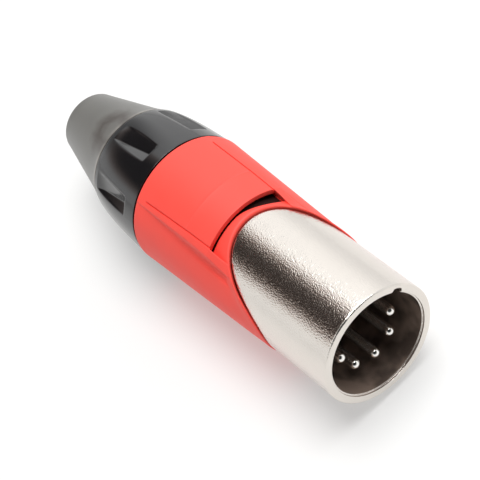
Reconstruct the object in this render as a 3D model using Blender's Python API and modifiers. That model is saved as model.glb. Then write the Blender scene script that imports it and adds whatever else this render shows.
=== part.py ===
"""Male five-pin circular cable connector with a screwed-on cable gland, lying on its side.

The connector is drawn in its own frame, with its axis on Z: the rim of the mating socket is
at Z = 0 and the cable leaves at the other end. The tongue of the colour sleeve points to -Y.
An empty lays the finished connector down: its axis along world Y, the rim towards -Y, the
tongue up, and the sleeve's rear band on the ground at Z = 0.
"""

import math

import bmesh
import bpy
from mathutils import Matrix, Vector
from mathutils.geometry import interpolate_bezier

MM = 0.001

# Fits
CLEARANCE = 0.3 * MM            # air between two pieces that touch
MERGE = 0.00001                 # merge distance of the turned surfaces
OVERCUT = 1.0 * MM              # how far a cutter reaches past the surface it opens

# Facets round a full turn
OUTER_FACETS = 40
INNER_FACETS = 48
PIN_FACETS = 16
FIELD_FACETS = 76               # no edge of a tongue cutter falls on an edge of the sleeve
POCKET_FACETS = 62
TONGUE_FACETS = 80

# Metal shell
SHELL_RADIUS = 9.5 * MM         # standard size, which the other radii follow
SHELL_EDGE = 0.35 * MM          # rounding of the rim outside
RIM_WALL = 1.45 * MM            # between the outside and the mating bore
SOCKET_CHAMFER = 0.25 * MM      # bright chamfer at the mouth
SOCKET_DEPTH = 15.0 * MM        # rim to the lip that carries the insert
LIP_STEP = 0.65 * MM            # how far the lip stands in from the mating bore
LIP_LENGTH = 1.5 * MM
SEAT_STEP = 0.7 * MM            # turned down by this much to carry the colour sleeve
SEAT_WALL = 0.9 * MM            # between the sleeve's seat and the rear bore
NECK_STEP = 0.5 * MM            # from the sleeve's seat down to the neck for the gland nut
NECK_LENGTH = 7.25 * MM
NECK_CHAMFER = 0.3 * MM
KEYWAY_ANGLE = 44.0             # degrees from the tongue
KEYWAY_WIDTH = 1.6 * MM
KEYWAY_DEPTH = 0.8 * MM
KEYWAY_END = 1.7 * MM           # bore left whole in front of the lip
NECK_SLOT_WIDTH = 2.4 * MM      # lets the key of the chuck in
NECK_SLOT_LENGTH = 6.0 * MM

# Colour sleeve
SLEEVE_START = 14.1 * MM        # front edge at the sides and below
SLEEVE_TOP_SETBACK = 10.1 * MM  # how much further back the edge lies under the tongue
SLEEVE_LENGTH = 29.65 * MM
SLEEVE_PROUD = 0.2 * MM         # how far its front edge stands over the shell
SLEEVE_FLARE = 1.1 * MM         # growth of its radius from front to rear
SLEEVE_REAR_CHAMFER = 0.22 * MM
SCALLOP_FOOT = -0.5 * MM        # height above the axis where the edge starts to climb
SCALLOP_HANDLES = ((0.40, 0.0), (0.58, 0.66))   # shares of the climb: height, setback
SCALLOP_FACETS = 14

# Tongue on the sleeve
TONGUE_TIP_HALF_WIDTH = 6.2 * MM
TONGUE_ROOT_HALF_WIDTH = 6.7 * MM
TONGUE_SLIT = 0.3 * MM
TONGUE_THICKNESS = 0.95 * MM
TONGUE_RISE = 1.3 * MM          # top of the tip over the sleeve's front edge
TONGUE_TIP_GAP = 1.9 * MM       # from the sleeve's edge to the tongue's tip
TONGUE_CREST_RISE = 0.08 * MM   # top of the crease over the tip
TONGUE_CREST_PLACE = 5.4 * MM   # from the tip back to the faint crease across the tongue
TONGUE_RAKE = 0.25              # lean of the end face, along the axis for each height
TONGUE_ROOT = 2.2 * MM          # length of the plain band that carries the tongue
TONGUE_REAR_STEP = 0.1 * MM     # how far the tongue stands over the band behind it
FIELD_HALF_WIDTH = 7.45 * MM    # outer side of the rails beside the tongue
CHEEK_DROP = 3.6 * MM           # length over which the rails run down to the collar
COLLAR_LENGTH = 0.45 * MM       # plain edge in front of the pocket
POCKET_FLOOR_WALL = 0.35 * MM   # sleeve left under the pocket
POCKET_SLOPE_LENGTH = 1.1 * MM
SKIM = 0.12 * MM                # height at which the pocket's cutter passes over the sleeve

# Insulating insert
INSERT_PROUD = 0.4 * MM         # face of the insert in front of the lip
INSERT_BODY_LENGTH = 13.2 * MM
INSERT_EDGE = 0.25 * MM
SPRING_GROOVE_WIDTH = 3.0 * MM
SPRING_GROOVE_DEPTH = 2.2 * MM

# Pins
PIN_ANGLES = tuple(90.0 + 45.0 * step for step in range(5))   # degrees from the tongue
PIN_INSET = 2.8 * MM            # from the insert's side in to the circle of the pins
PIN_RADIUS = 0.8 * MM
PIN_TIP_RECESS = 2.3 * MM       # tip below the rim
PIN_SEAT_STEP = 0.4 * MM        # how much thicker the seat is than the pin
PIN_SEAT_LENGTH = 4.0 * MM      # thick part held in the insert
CUP_LENGTH = 6.0 * MM           # solder cup behind the insert
CUP_WALL = 0.4 * MM
CUP_DEPTH = 4.6 * MM
CUP_WINDOW = 3.6 * MM           # open side of the cup

# Earth spring
SPRING_WIDTH = 2.4 * MM
SPRING_THICKNESS = 0.35 * MM
SPRING_TAIL_LIFT = 0.55 * MM    # middle of the strip over the groove's floor
SPRING_TAIL_LENGTH = 5.0 * MM
SPRING_REACH = 11.4 * MM        # length inside the groove

# Chuck that grips the cable
CHUCK_BACKSET = 1.9 * MM        # from the nut's rear face to the finger tips
CHUCK_WALL = 1.1 * MM
CHUCK_TUBE_LENGTH = 9.7 * MM
CHUCK_FUNNEL_LENGTH = 4.0 * MM
CHUCK_GRIP_RADIUS = 4.2 * MM
CHUCK_TAPER = 1.1 * MM          # from the chuck's side in to its finger tips
CHUCK_CONE_LENGTH = 7.0 * MM
CHUCK_FINGERS = 6
CHUCK_SLIT = 1.2 * MM
CHUCK_KEY_WIDTH = 1.8 * MM
CHUCK_KEY_LENGTH = 4.0 * MM

# Gland nut
NUT_LENGTH = 12.35 * MM
NUT_STEP = 0.15 * MM            # how far its front lies below the sleeve's rear
NUT_TAPER = 1.25 * MM           # from the radius of its front to that of its rear
NUT_BELLY_DROP = 0.2 * MM       # height lost along the full part of its side
NUT_BELLY_PLACE = 3.9 * MM      # where the side turns in, from the nut's rear
NUT_EDGE = 0.3 * MM
NUT_SIDE_FACETS = 7
DENT_COUNT = 7
DENT_PHASE = -5.3               # degrees from the tongue
DENT_FRONT = 2.75 * MM          # from the nut's front
DENT_REAR = 1.0 * MM            # from the nut's rear
DENT_VALLEY_LENGTH = 4.6 * MM
DENT_HALF_WIDTH = 1.7 * MM
DENT_FRONT_DEPTH = 0.75 * MM
DENT_VALLEY_DEPTH = 0.85 * MM

# Rubber boot
BOOT_LENGTH = 14.8 * MM
BOOT_BORE_RADIUS = 4.0 * MM
BOOT_END_WALL = 1.25 * MM
BOOT_END_EDGE = 0.6 * MM
BOOT_SHOULDER_LENGTH = 3.3 * MM
BOOT_SHOULDER_DROP = 1.2 * MM   # from the nut's rear radius to where the cone starts
BOOT_SPIGOT_INSET = 2.9 * MM    # from the nut's rear radius in to the spigot
BOOT_BEAD_HEIGHT = 0.6 * MM
BOOT_BEAD_LENGTH = 0.5 * MM
BOOT_SIDE_FACETS = 5

# Stations along the axis, from the rim
LIP_REAR = SOCKET_DEPTH + LIP_LENGTH
INSERT_FRONT = SOCKET_DEPTH - INSERT_PROUD
INSERT_SHOULDER = LIP_REAR + CLEARANCE
INSERT_REAR = INSERT_SHOULDER + INSERT_BODY_LENGTH
SLEEVE_REAR = SLEEVE_START + SLEEVE_LENGTH
SLEEVE_TOP_EDGE = SLEEVE_START + SLEEVE_TOP_SETBACK
TONGUE_TIP = SLEEVE_TOP_EDGE + TONGUE_TIP_GAP
TONGUE_END = SLEEVE_REAR - TONGUE_ROOT
NECK_REAR = SLEEVE_REAR + NECK_LENGTH
NUT_FRONT = SLEEVE_REAR + CLEARANCE
NUT_REAR = NUT_FRONT + NUT_LENGTH
CHUCK_FRONT = INSERT_REAR + CLEARANCE
CHUCK_REAR = NUT_REAR - CHUCK_BACKSET
BOOT_FRONT = NUT_REAR + CLEARANCE
BOOT_REAR = BOOT_FRONT + BOOT_LENGTH
SPIGOT_FRONT = CHUCK_REAR + CLEARANCE
DENT_LENGTH = NUT_LENGTH - DENT_FRONT - DENT_REAR
KEYWAY_LENGTH = SOCKET_DEPTH - KEYWAY_END

# Radii, each from the piece that it fits
SOCKET_RADIUS = SHELL_RADIUS - RIM_WALL
LIP_RADIUS = SOCKET_RADIUS - LIP_STEP
SLEEVE_SEAT_RADIUS = SHELL_RADIUS - SEAT_STEP
REAR_BORE_RADIUS = SLEEVE_SEAT_RADIUS - SEAT_WALL
NECK_RADIUS = SLEEVE_SEAT_RADIUS - NECK_STEP
INSERT_RADIUS = REAR_BORE_RADIUS - CLEARANCE
INSERT_NOSE_RADIUS = LIP_RADIUS - CLEARANCE
PIN_CIRCLE_RADIUS = INSERT_RADIUS - PIN_INSET
PIN_SEAT_RADIUS = PIN_RADIUS + PIN_SEAT_STEP
SPRING_GROOVE_RADIUS = INSERT_RADIUS - SPRING_GROOVE_DEPTH
SPRING_TAIL_RADIUS = SPRING_GROOVE_RADIUS + SPRING_TAIL_LIFT
SLEEVE_BORE_RADIUS = SLEEVE_SEAT_RADIUS + CLEARANCE
SLEEVE_FRONT_RADIUS = SHELL_RADIUS + SLEEVE_PROUD
SLEEVE_REAR_RADIUS = SLEEVE_FRONT_RADIUS + SLEEVE_FLARE
TONGUE_TIP_RADIUS = SLEEVE_FRONT_RADIUS + TONGUE_RISE
TONGUE_CREST_RADIUS = TONGUE_TIP_RADIUS + TONGUE_CREST_RISE
POCKET_FLOOR_RADIUS = SLEEVE_BORE_RADIUS + POCKET_FLOOR_WALL
CHUCK_RADIUS = REAR_BORE_RADIUS - CLEARANCE
CHUCK_TUBE_BORE = CHUCK_RADIUS - CHUCK_WALL
CHUCK_TIP_RADIUS = CHUCK_RADIUS - CHUCK_TAPER
NUT_FRONT_RADIUS = SLEEVE_REAR_RADIUS - NUT_STEP
NUT_BELLY_RADIUS = NUT_FRONT_RADIUS - NUT_BELLY_DROP
NUT_REAR_RADIUS = NUT_FRONT_RADIUS - NUT_TAPER
BOOT_END_RADIUS = BOOT_BORE_RADIUS + BOOT_END_WALL
BOOT_SHOULDER_RADIUS = NUT_REAR_RADIUS - BOOT_SHOULDER_DROP
BOOT_SPIGOT_RADIUS = NUT_REAR_RADIUS - BOOT_SPIGOT_INSET
AXIS_HEIGHT = max(SLEEVE_REAR_RADIUS, NUT_FRONT_RADIUS, SHELL_RADIUS)


def clear_scene():
    for item in list(bpy.data.objects):
        bpy.data.objects.remove(item, do_unlink=True)


def new_collection(name):
    found = bpy.data.collections.get(name)
    if found is None:
        found = bpy.data.collections.new(name)
        bpy.context.scene.collection.children.link(found)
    return found


def material(name, colour, roughness, metallic):
    made = bpy.data.materials.new(name)
    made.use_nodes = True
    shader = made.node_tree.nodes["Principled BSDF"]
    shader.inputs["Base Color"].default_value = (*colour, 1.0)
    shader.inputs["Roughness"].default_value = roughness
    shader.inputs["Metallic"].default_value = metallic
    return made


def add_object(name, mesh, axis, collection, finish=None):
    item = bpy.data.objects.new(name, mesh)
    collection.objects.link(item)
    item.parent = axis
    if finish is not None:
        mesh.materials.append(finish)
    return item


def hide_as_cutter(item):
    item.hide_render = True
    item.display_type = "WIRE"


def around(radius, angle, height):
    """A point at an angle from the tongue, counted towards +X."""
    turn = math.radians(angle)
    return Vector((radius * math.sin(turn), -radius * math.cos(turn), height))


def filleted(points, steps=3):
    """Rounds the corners of a closed outline given as (radius, height, fillet)."""
    made = []
    count = len(points)
    for index, (x, y, fillet) in enumerate(points):
        here = Vector((x, y))
        if fillet <= 0.0:
            made.append(here)
            continue
        before = Vector(points[index - 1][:2]) - here
        after = Vector(points[(index + 1) % count][:2]) - here
        half = before.angle(after) / 2.0
        reach = min(fillet / math.tan(half), before.length / 2.0, after.length / 2.0)
        start = here + before.normalized() * reach
        end = here + after.normalized() * reach
        for step in range(steps + 1):
            share = step / steps
            made.append(start.lerp(here, share).lerp(here.lerp(end, share), share))
    return made


def bezier(first, handle_a, handle_b, last, count):
    flat = [Vector((*point, 0.0)) for point in (first, handle_a, handle_b, last)]
    return [point.to_2d() for point in interpolate_bezier(*flat, count)]


def curved(first, middle, last, count):
    """A parabola through its end tangents, as a list of points."""
    first, middle, last = Vector(first), Vector(middle), Vector(last)
    return bezier(first, first.lerp(middle, 2 / 3), last.lerp(middle, 2 / 3), last, count)


def turned(name, outline, facets, axis, collection, finish=None):
    """Turns a closed outline of (radius, height) round the axis."""
    mesh = bpy.data.meshes.new(name)
    phase = math.pi / facets
    verts = [(p[0] * math.cos(phase), p[0] * math.sin(phase), p[1]) for p in outline]
    edges = [(i, (i + 1) % len(verts)) for i in range(len(verts))]
    mesh.from_pydata(verts, edges, [])
    item = add_object(name, mesh, axis, collection, finish)
    screw = item.modifiers.new("Turn", "SCREW")
    screw.axis = "Z"
    screw.steps = facets
    screw.render_steps = facets
    screw.use_merge_vertices = True
    screw.merge_threshold = MERGE
    screw.use_smooth_shade = True
    return item


def box(name, low, high, axis, collection, turn=0.0):
    """A block between two corners, turned about the axis by an angle in degrees."""
    mesh = bpy.data.meshes.new(name)
    shape = bmesh.new()
    bmesh.ops.create_cube(shape, size=1.0)
    size = Vector(high) - Vector(low)
    centre = (Vector(high) + Vector(low)) / 2.0
    place = Matrix.Rotation(math.radians(turn), 4, "Z") @ Matrix.Translation(centre)
    bmesh.ops.transform(shape, matrix=place @ Matrix.Diagonal((*size, 1.0)), verts=shape.verts)
    shape.to_mesh(mesh)
    shape.free()
    return add_object(name, mesh, axis, collection)


def joined(name, items, axis, collection):
    """One mesh from several plain pieces, kept where they are."""
    shape = bmesh.new()
    for item in items:
        shape.from_mesh(item.data)
        bpy.data.objects.remove(item, do_unlink=True)
    mesh = bpy.data.meshes.new(name)
    shape.to_mesh(mesh)
    shape.free()
    return add_object(name, mesh, axis, collection)


def plate(name, outline, thickness, place, axis, collection, finish=None):
    """A flat outline given a thickness, made a closed mesh and put in its place."""
    drawing = bpy.data.curves.new(name, "CURVE")
    drawing.dimensions = "2D"
    drawing.fill_mode = "BOTH"
    drawing.extrude = thickness / 2.0
    spline = drawing.splines.new("POLY")
    spline.points.add(len(outline) - 1)
    for point, spot in zip(spline.points, outline):
        point.co = (spot[0], spot[1], 0.0, 1.0)
    spline.use_cyclic_u = True
    draft = bpy.data.objects.new(name + "_draft", drawing)
    collection.objects.link(draft)
    bpy.context.view_layer.update()
    depsgraph = bpy.context.evaluated_depsgraph_get()
    mesh = bpy.data.meshes.new_from_object(draft.evaluated_get(depsgraph))
    bpy.data.objects.remove(draft, do_unlink=True)
    bpy.data.curves.remove(drawing)
    mesh.name = name
    shape = bmesh.new()
    shape.from_mesh(mesh)
    bmesh.ops.remove_doubles(shape, verts=shape.verts, dist=MERGE)
    bmesh.ops.transform(shape, matrix=place, verts=shape.verts)
    bmesh.ops.recalc_face_normals(shape, faces=shape.faces)
    shape.to_mesh(mesh)
    shape.free()
    mesh.materials.clear()
    return add_object(name, mesh, axis, collection, finish)


def boolean(item, tool, operation):
    cut = item.modifiers.new(tool.name, "BOOLEAN")
    cut.operation = operation
    cut.solver = "EXACT"
    cut.object = tool
    hide_as_cutter(tool)


# How a flat outline is laid in the connector's frame. Its first number runs along the axis.
# Its second one goes up to the tongue in a side view, and across in a plan view.
SIDE_VIEW = Matrix(((0, 0, 1, 0), (0, -1, 0, 0), (1, 0, 0, 0), (0, 0, 0, 1)))
PLAN_VIEW = Matrix(((0, 1, 0, 0), (0, 0, 1, 0), (1, 0, 0, 0), (0, 0, 0, 1)))
FAR = 3.0 * SLEEVE_REAR_RADIUS


def edge_prism(name, shift, axis, collection):
    """Everything behind the sleeve's front edge, as the edge is seen from the side."""
    start = SLEEVE_START + shift
    rise = SLEEVE_FRONT_RADIUS - SCALLOP_FOOT
    handles = [(start + setback * SLEEVE_TOP_SETBACK, SCALLOP_FOOT + height * rise)
               for height, setback in SCALLOP_HANDLES]
    edge = bezier((start, SCALLOP_FOOT), handles[0], handles[1],
                  (start + SLEEVE_TOP_SETBACK, SLEEVE_FRONT_RADIUS), SCALLOP_FACETS + 1)
    outline = [(start, -FAR)] + [tuple(point) for point in edge]
    outline += [(start + SLEEVE_TOP_SETBACK, FAR), (NUT_REAR, FAR), (NUT_REAR, -FAR)]
    return plate(name, outline, FAR, SIDE_VIEW, axis, collection)


def tongue_plan(name, margin, front, rear, axis, collection):
    """The tongue's tapered outline from above, widened by a margin, as a tall prism."""
    taper = (TONGUE_ROOT_HALF_WIDTH - TONGUE_TIP_HALF_WIDTH) / (TONGUE_END - TONGUE_TIP)
    wide_front = TONGUE_TIP_HALF_WIDTH + margin + taper * (front - TONGUE_TIP)
    wide_rear = TONGUE_TIP_HALF_WIDTH + margin + taper * (rear - TONGUE_TIP)
    outline = [(front, -wide_front), (rear, -wide_rear), (rear, wide_rear), (front, wide_front)]
    tall = PLAN_VIEW.copy()
    tall.translation = (0.0, -FAR / 2.0, 0.0)
    return plate(name, outline, FAR, tall, axis, collection)


def build_shell(axis, parts, cutters, finish):
    outline = filleted([
        (NECK_RADIUS, NECK_REAR, NECK_CHAMFER),
        (NECK_RADIUS, SLEEVE_REAR, 0.0),
        (SLEEVE_SEAT_RADIUS, SLEEVE_REAR, 0.0),
        (SLEEVE_SEAT_RADIUS, SLEEVE_TOP_EDGE, 0.0),
        (SHELL_RADIUS, SLEEVE_TOP_EDGE, 0.0),
        (SHELL_RADIUS, 0.0, SHELL_EDGE),
        (SOCKET_RADIUS, 0.0, SOCKET_CHAMFER),
        (SOCKET_RADIUS, SOCKET_DEPTH, 0.0),
        (LIP_RADIUS, SOCKET_DEPTH, 0.0),
        (LIP_RADIUS, LIP_REAR, 0.0),
        (REAR_BORE_RADIUS, LIP_REAR, 0.0),
        (REAR_BORE_RADIUS, NECK_REAR, 0.0),
    ], steps=2)
    shell = turned("front_shell", outline, OUTER_FACETS, axis, parts, finish)

    seat = turned("sleeve_seat", [
        (SLEEVE_REAR_RADIUS, SLEEVE_REAR + OVERCUT),
        (SLEEVE_REAR_RADIUS, SLEEVE_START - OVERCUT),
        (SLEEVE_SEAT_RADIUS, SLEEVE_START - OVERCUT),
        (SLEEVE_SEAT_RADIUS, SLEEVE_REAR + OVERCUT),
    ], OUTER_FACETS, axis, cutters)
    boolean(seat, edge_prism("seat_prism", -CLEARANCE, axis, cutters), "INTERSECT")
    boolean(shell, seat, "DIFFERENCE")

    half = KEYWAY_WIDTH / 2.0
    keyway = box("keyway", (-half, -SOCKET_RADIUS - KEYWAY_DEPTH, -OVERCUT),
                 (half, -SOCKET_RADIUS + OVERCUT, KEYWAY_LENGTH), axis, cutters, KEYWAY_ANGLE)
    boolean(shell, keyway, "DIFFERENCE")

    half = NECK_SLOT_WIDTH / 2.0
    slot = box("neck_slot", (-half, REAR_BORE_RADIUS - OVERCUT, NECK_REAR - NECK_SLOT_LENGTH),
               (half, NECK_RADIUS + OVERCUT, NECK_REAR + OVERCUT), axis, cutters)
    boolean(shell, slot, "DIFFERENCE")
    return shell


def sleeve_radius(height):
    """Outer radius of the plain sleeve at a height along the axis."""
    share = (height - SLEEVE_START) / SLEEVE_LENGTH
    return SLEEVE_FRONT_RADIUS + (SLEEVE_REAR_RADIUS - SLEEVE_FRONT_RADIUS) * share


def build_sleeve(axis, parts, cutters, finish):
    sleeve = turned("colour_sleeve", filleted([
        (SLEEVE_REAR_RADIUS, SLEEVE_REAR, SLEEVE_REAR_CHAMFER),
        (SLEEVE_FRONT_RADIUS, SLEEVE_START, 0.0),
        (SLEEVE_BORE_RADIUS, SLEEVE_START, 0.0),
        (SLEEVE_BORE_RADIUS, SLEEVE_REAR, 0.0),
    ], steps=2), OUTER_FACETS, axis, parts, finish)

    # The raised field holds the tongue and its two rails, and ends in two sloping cheeks.
    core = (SLEEVE_BORE_RADIUS + POCKET_FLOOR_RADIUS) / 2.0
    field_rear = SLEEVE_REAR - SLEEVE_REAR_CHAMFER
    cheek_foot = TONGUE_TIP - CHEEK_DROP
    field = turned("tongue_field", [
        (core, field_rear),
        (SLEEVE_REAR_RADIUS + TONGUE_REAR_STEP, field_rear),
        (TONGUE_CREST_RADIUS, TONGUE_TIP + TONGUE_CREST_PLACE),
        (TONGUE_TIP_RADIUS, TONGUE_TIP),
        (sleeve_radius(cheek_foot) - SKIM, cheek_foot),
        (core, cheek_foot),
    ], FIELD_FACETS, axis, cutters)
    boolean(field, box("field_window", (-FIELD_HALF_WIDTH, -FAR, -FAR),
                       (FIELD_HALF_WIDTH, 0.0, 3.0 * FAR), axis, cutters), "INTERSECT")
    boolean(sleeve, field, "UNION")

    # The pocket is open in front of the tongue and runs on under it as far as the root.
    far = TONGUE_TIP_RADIUS + OVERCUT
    edge_rear = SLEEVE_TOP_EDGE + COLLAR_LENGTH
    pocket = turned("tongue_pocket", [
        (far, TONGUE_END),
        (far, SLEEVE_START),
        (sleeve_radius(SLEEVE_START) + SKIM, SLEEVE_START),
        (sleeve_radius(edge_rear) + SKIM, edge_rear),
        (POCKET_FLOOR_RADIUS, edge_rear + POCKET_SLOPE_LENGTH),
        (POCKET_FLOOR_RADIUS, TONGUE_END),
    ], POCKET_FACETS, axis, cutters)
    boolean(pocket, tongue_plan("pocket_plan", TONGUE_SLIT, SLEEVE_START - OVERCUT,
                                TONGUE_END + OVERCUT, axis, cutters), "INTERSECT")
    under = TONGUE_TIP_RADIUS - TONGUE_THICKNESS
    tongue = turned("tongue_core", [
        (far + OVERCUT, TONGUE_END + OVERCUT),
        (far + OVERCUT, SLEEVE_START),
        (under, SLEEVE_START),
        (under, TONGUE_END + OVERCUT),
    ], TONGUE_FACETS, axis, cutters)
    boolean(tongue, tongue_plan("tongue_plan", 0.0, SLEEVE_START - OVERCUT,
                                TONGUE_END + 2.0 * OVERCUT, axis, cutters), "INTERSECT")
    lean = TONGUE_RAKE * FAR
    low, high = TONGUE_TIP_RADIUS - FAR, TONGUE_TIP_RADIUS + FAR
    outline = [(TONGUE_TIP - lean, low), (TONGUE_TIP + lean, high), (2.0 * NUT_REAR, high),
               (2.0 * NUT_REAR, low)]
    boolean(tongue, plate("tongue_end", outline, FAR, SIDE_VIEW, axis, cutters), "INTERSECT")
    boolean(pocket, tongue, "DIFFERENCE")
    boolean(sleeve, pocket, "DIFFERENCE")

    boolean(sleeve, edge_prism("edge_prism", 0.0, axis, cutters), "INTERSECT")
    return sleeve


def pin_places():
    return [around(PIN_CIRCLE_RADIUS, angle, 0.0) for angle in PIN_ANGLES]


def build_insert(axis, parts, cutters, finish):
    insert = turned("contact_insert", filleted([
        (0.0, INSERT_REAR, 0.0),
        (INSERT_RADIUS, INSERT_REAR, INSERT_EDGE),
        (INSERT_RADIUS, INSERT_SHOULDER, 0.0),
        (INSERT_NOSE_RADIUS, INSERT_SHOULDER, 0.0),
        (INSERT_NOSE_RADIUS, INSERT_FRONT, INSERT_EDGE),
        (0.0, INSERT_FRONT, 0.0),
    ], steps=1), INNER_FACETS, axis, parts, finish)
    hole = PIN_RADIUS + CLEARANCE
    seat = PIN_SEAT_RADIUS + CLEARANCE
    seat_front = INSERT_REAR - PIN_SEAT_LENGTH - CLEARANCE
    for index, place in enumerate(pin_places(), start=1):
        bore = turned(f"pin_bore_{index}", [
            (0.0, INSERT_REAR + OVERCUT),
            (seat, INSERT_REAR + OVERCUT),
            (seat, seat_front),
            (hole, seat_front),
            (hole, INSERT_FRONT - OVERCUT),
            (0.0, INSERT_FRONT - OVERCUT),
        ], PIN_FACETS, axis, cutters)
        bore.location = place
        boolean(insert, bore, "DIFFERENCE")
    half = SPRING_GROOVE_WIDTH / 2.0
    groove = box("spring_groove",
                 (-half, -INSERT_RADIUS - OVERCUT, INSERT_REAR - SPRING_REACH - 2.0 * CLEARANCE),
                 (half, -SPRING_GROOVE_RADIUS, INSERT_REAR + OVERCUT), axis, cutters)
    boolean(insert, groove, "DIFFERENCE")
    return insert


def build_pins(axis, parts, cutters, finish):
    seat_front = INSERT_REAR - PIN_SEAT_LENGTH
    cup_rear = INSERT_REAR + CUP_LENGTH
    cup_radius = PIN_SEAT_RADIUS - CUP_WALL
    nose = [(PIN_RADIUS * math.sin(math.radians(30.0 * step)),
             PIN_TIP_RECESS + PIN_RADIUS * (1.0 - math.cos(math.radians(30.0 * step))))
            for step in (3, 2, 1, 0)]
    outline = [
        (0.0, cup_rear - CUP_DEPTH),
        (cup_radius, cup_rear - CUP_DEPTH),
        (cup_radius, cup_rear),
        (PIN_SEAT_RADIUS, cup_rear),
        (PIN_SEAT_RADIUS, seat_front),
        (PIN_RADIUS, seat_front),
    ] + nose
    for index, (angle, place) in enumerate(zip(PIN_ANGLES, pin_places()), start=1):
        pin = turned(f"pin_{index}", outline, PIN_FACETS, axis, parts, finish)
        pin.location = place
        window = box(f"cup_window_{index}",
                     (-2.0 * PIN_SEAT_RADIUS, -2.0 * PIN_SEAT_RADIUS, cup_rear - CUP_WINDOW),
                     (2.0 * PIN_SEAT_RADIUS, 0.0, cup_rear + OVERCUT), axis, cutters, angle)
        window.location = place
        boolean(pin, window, "DIFFERENCE")


def build_spring(axis, parts, finish):
    """A bent strip: solder tag behind, and a hump that presses on the shell's bore."""
    low = INSERT_REAR - SPRING_REACH
    hump = REAR_BORE_RADIUS - CLEARANCE - SPRING_THICKNESS / 2.0
    line = [
        (INSERT_REAR + SPRING_TAIL_LENGTH, SPRING_TAIL_RADIUS),
        (INSERT_REAR - 0.08 * SPRING_REACH, SPRING_TAIL_RADIUS),
        (low + 0.58 * SPRING_REACH, hump),
        (low + 0.48 * SPRING_REACH, hump),
        (low, SPRING_TAIL_RADIUS),
    ]
    above, below = [], []
    for index, spot in enumerate(line):
        before = Vector(line[max(index - 1, 0)])
        after = Vector(line[min(index + 1, len(line) - 1)])
        into = (Vector(spot) - before).normalized() if index else None
        out = (after - Vector(spot)).normalized() if index < len(line) - 1 else None
        along = ((into or out) + (out or into)).normalized()
        across = Vector((-along.y, along.x))
        widen = 1.0 / max(along.dot(into or out), 0.5)
        above.append(Vector(spot) + across * widen * SPRING_THICKNESS / 2.0)
        below.append(Vector(spot) - across * widen * SPRING_THICKNESS / 2.0)
    outline = [tuple(point) for point in above + below[::-1]]
    return plate("earth_spring", outline, SPRING_WIDTH, SIDE_VIEW, axis, parts, finish)


def build_chuck(axis, parts, cutters, finish):
    funnel = CHUCK_FRONT + CHUCK_TUBE_LENGTH
    chuck = turned("cable_chuck", [
        (CHUCK_TIP_RADIUS, CHUCK_REAR),
        (CHUCK_RADIUS, CHUCK_REAR - CHUCK_CONE_LENGTH),
        (CHUCK_RADIUS, CHUCK_FRONT),
        (CHUCK_TUBE_BORE, CHUCK_FRONT),
        (CHUCK_TUBE_BORE, funnel),
        (CHUCK_GRIP_RADIUS, funnel + CHUCK_FUNNEL_LENGTH),
        (CHUCK_GRIP_RADIUS, CHUCK_REAR),
    ], INNER_FACETS, axis, parts, finish)

    half = CHUCK_KEY_WIDTH / 2.0
    key_front = NECK_REAR - NECK_SLOT_LENGTH + CLEARANCE
    key = box("chuck_key", (-half, (CHUCK_RADIUS + CHUCK_TUBE_BORE) / 2.0, key_front),
              (half, NECK_RADIUS - CLEARANCE / 2.0, key_front + CHUCK_KEY_LENGTH), axis, cutters)
    boolean(chuck, key, "UNION")

    slits = []
    for index in range(CHUCK_FINGERS):
        turn = (index + 0.5) * 360.0 / CHUCK_FINGERS
        slits.append(box("slit", (-CHUCK_SLIT / 2.0, 0.25 * CHUCK_GRIP_RADIUS, funnel),
                         (CHUCK_SLIT / 2.0, 2.0 * CHUCK_RADIUS, CHUCK_REAR + OVERCUT),
                         axis, cutters, turn))
    boolean(chuck, joined("chuck_slits", slits, axis, cutters), "DIFFERENCE")
    return chuck


def dent_cutter(axis, collection):
    """Seven pointed scoops that give the fingers a hold on the nut."""
    front = NUT_FRONT + DENT_FRONT
    rear = front + DENT_LENGTH
    valley = front + DENT_VALLEY_LENGTH
    high = NUT_FRONT_RADIUS + OVERCUT
    chord = math.sqrt(NUT_FRONT_RADIUS ** 2 - DENT_HALF_WIDTH ** 2)
    rear_radius = nut_radius(rear)
    rear_chord = math.sqrt(rear_radius ** 2 - DENT_HALF_WIDTH ** 2)
    points = [
        (0.0, nut_radius(front) - DENT_FRONT_DEPTH, front),
        (0.0, nut_radius(valley) - DENT_VALLEY_DEPTH, valley),
    ]
    for side in (-1, 1):
        points += [
            (side * DENT_HALF_WIDTH, chord, front),
            (side * DENT_HALF_WIDTH, high, front),
            (side * DENT_HALF_WIDTH, rear_chord, rear),
            (side * DENT_HALF_WIDTH, high, rear),
        ]
    shape = bmesh.new()
    for index in range(DENT_COUNT):
        turn = Matrix.Rotation(math.radians(DENT_PHASE + index * 360.0 / DENT_COUNT), 3, "Z")
        verts = [shape.verts.new(turn @ Vector((x, -radius, z))) for x, radius, z in points]
        bmesh.ops.convex_hull(shape, input=verts)
    bmesh.ops.recalc_face_normals(shape, faces=shape.faces)
    mesh = bpy.data.meshes.new("nut_dents")
    shape.to_mesh(mesh)
    shape.free()
    return add_object("nut_dents", mesh, axis, collection)


def nut_profile():
    """Outer side of the nut from its front to its rear."""
    return curved((NUT_FRONT_RADIUS, NUT_FRONT),
                  (NUT_BELLY_RADIUS, NUT_REAR - NUT_BELLY_PLACE),
                  (NUT_REAR_RADIUS, NUT_REAR), NUT_SIDE_FACETS + 1)


def nut_radius(height):
    points = nut_profile()
    for first, second in zip(points, points[1:]):
        if first.y <= height <= second.y:
            return first.lerp(second, (height - first.y) / (second.y - first.y)).x
    return points[-1].x


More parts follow.
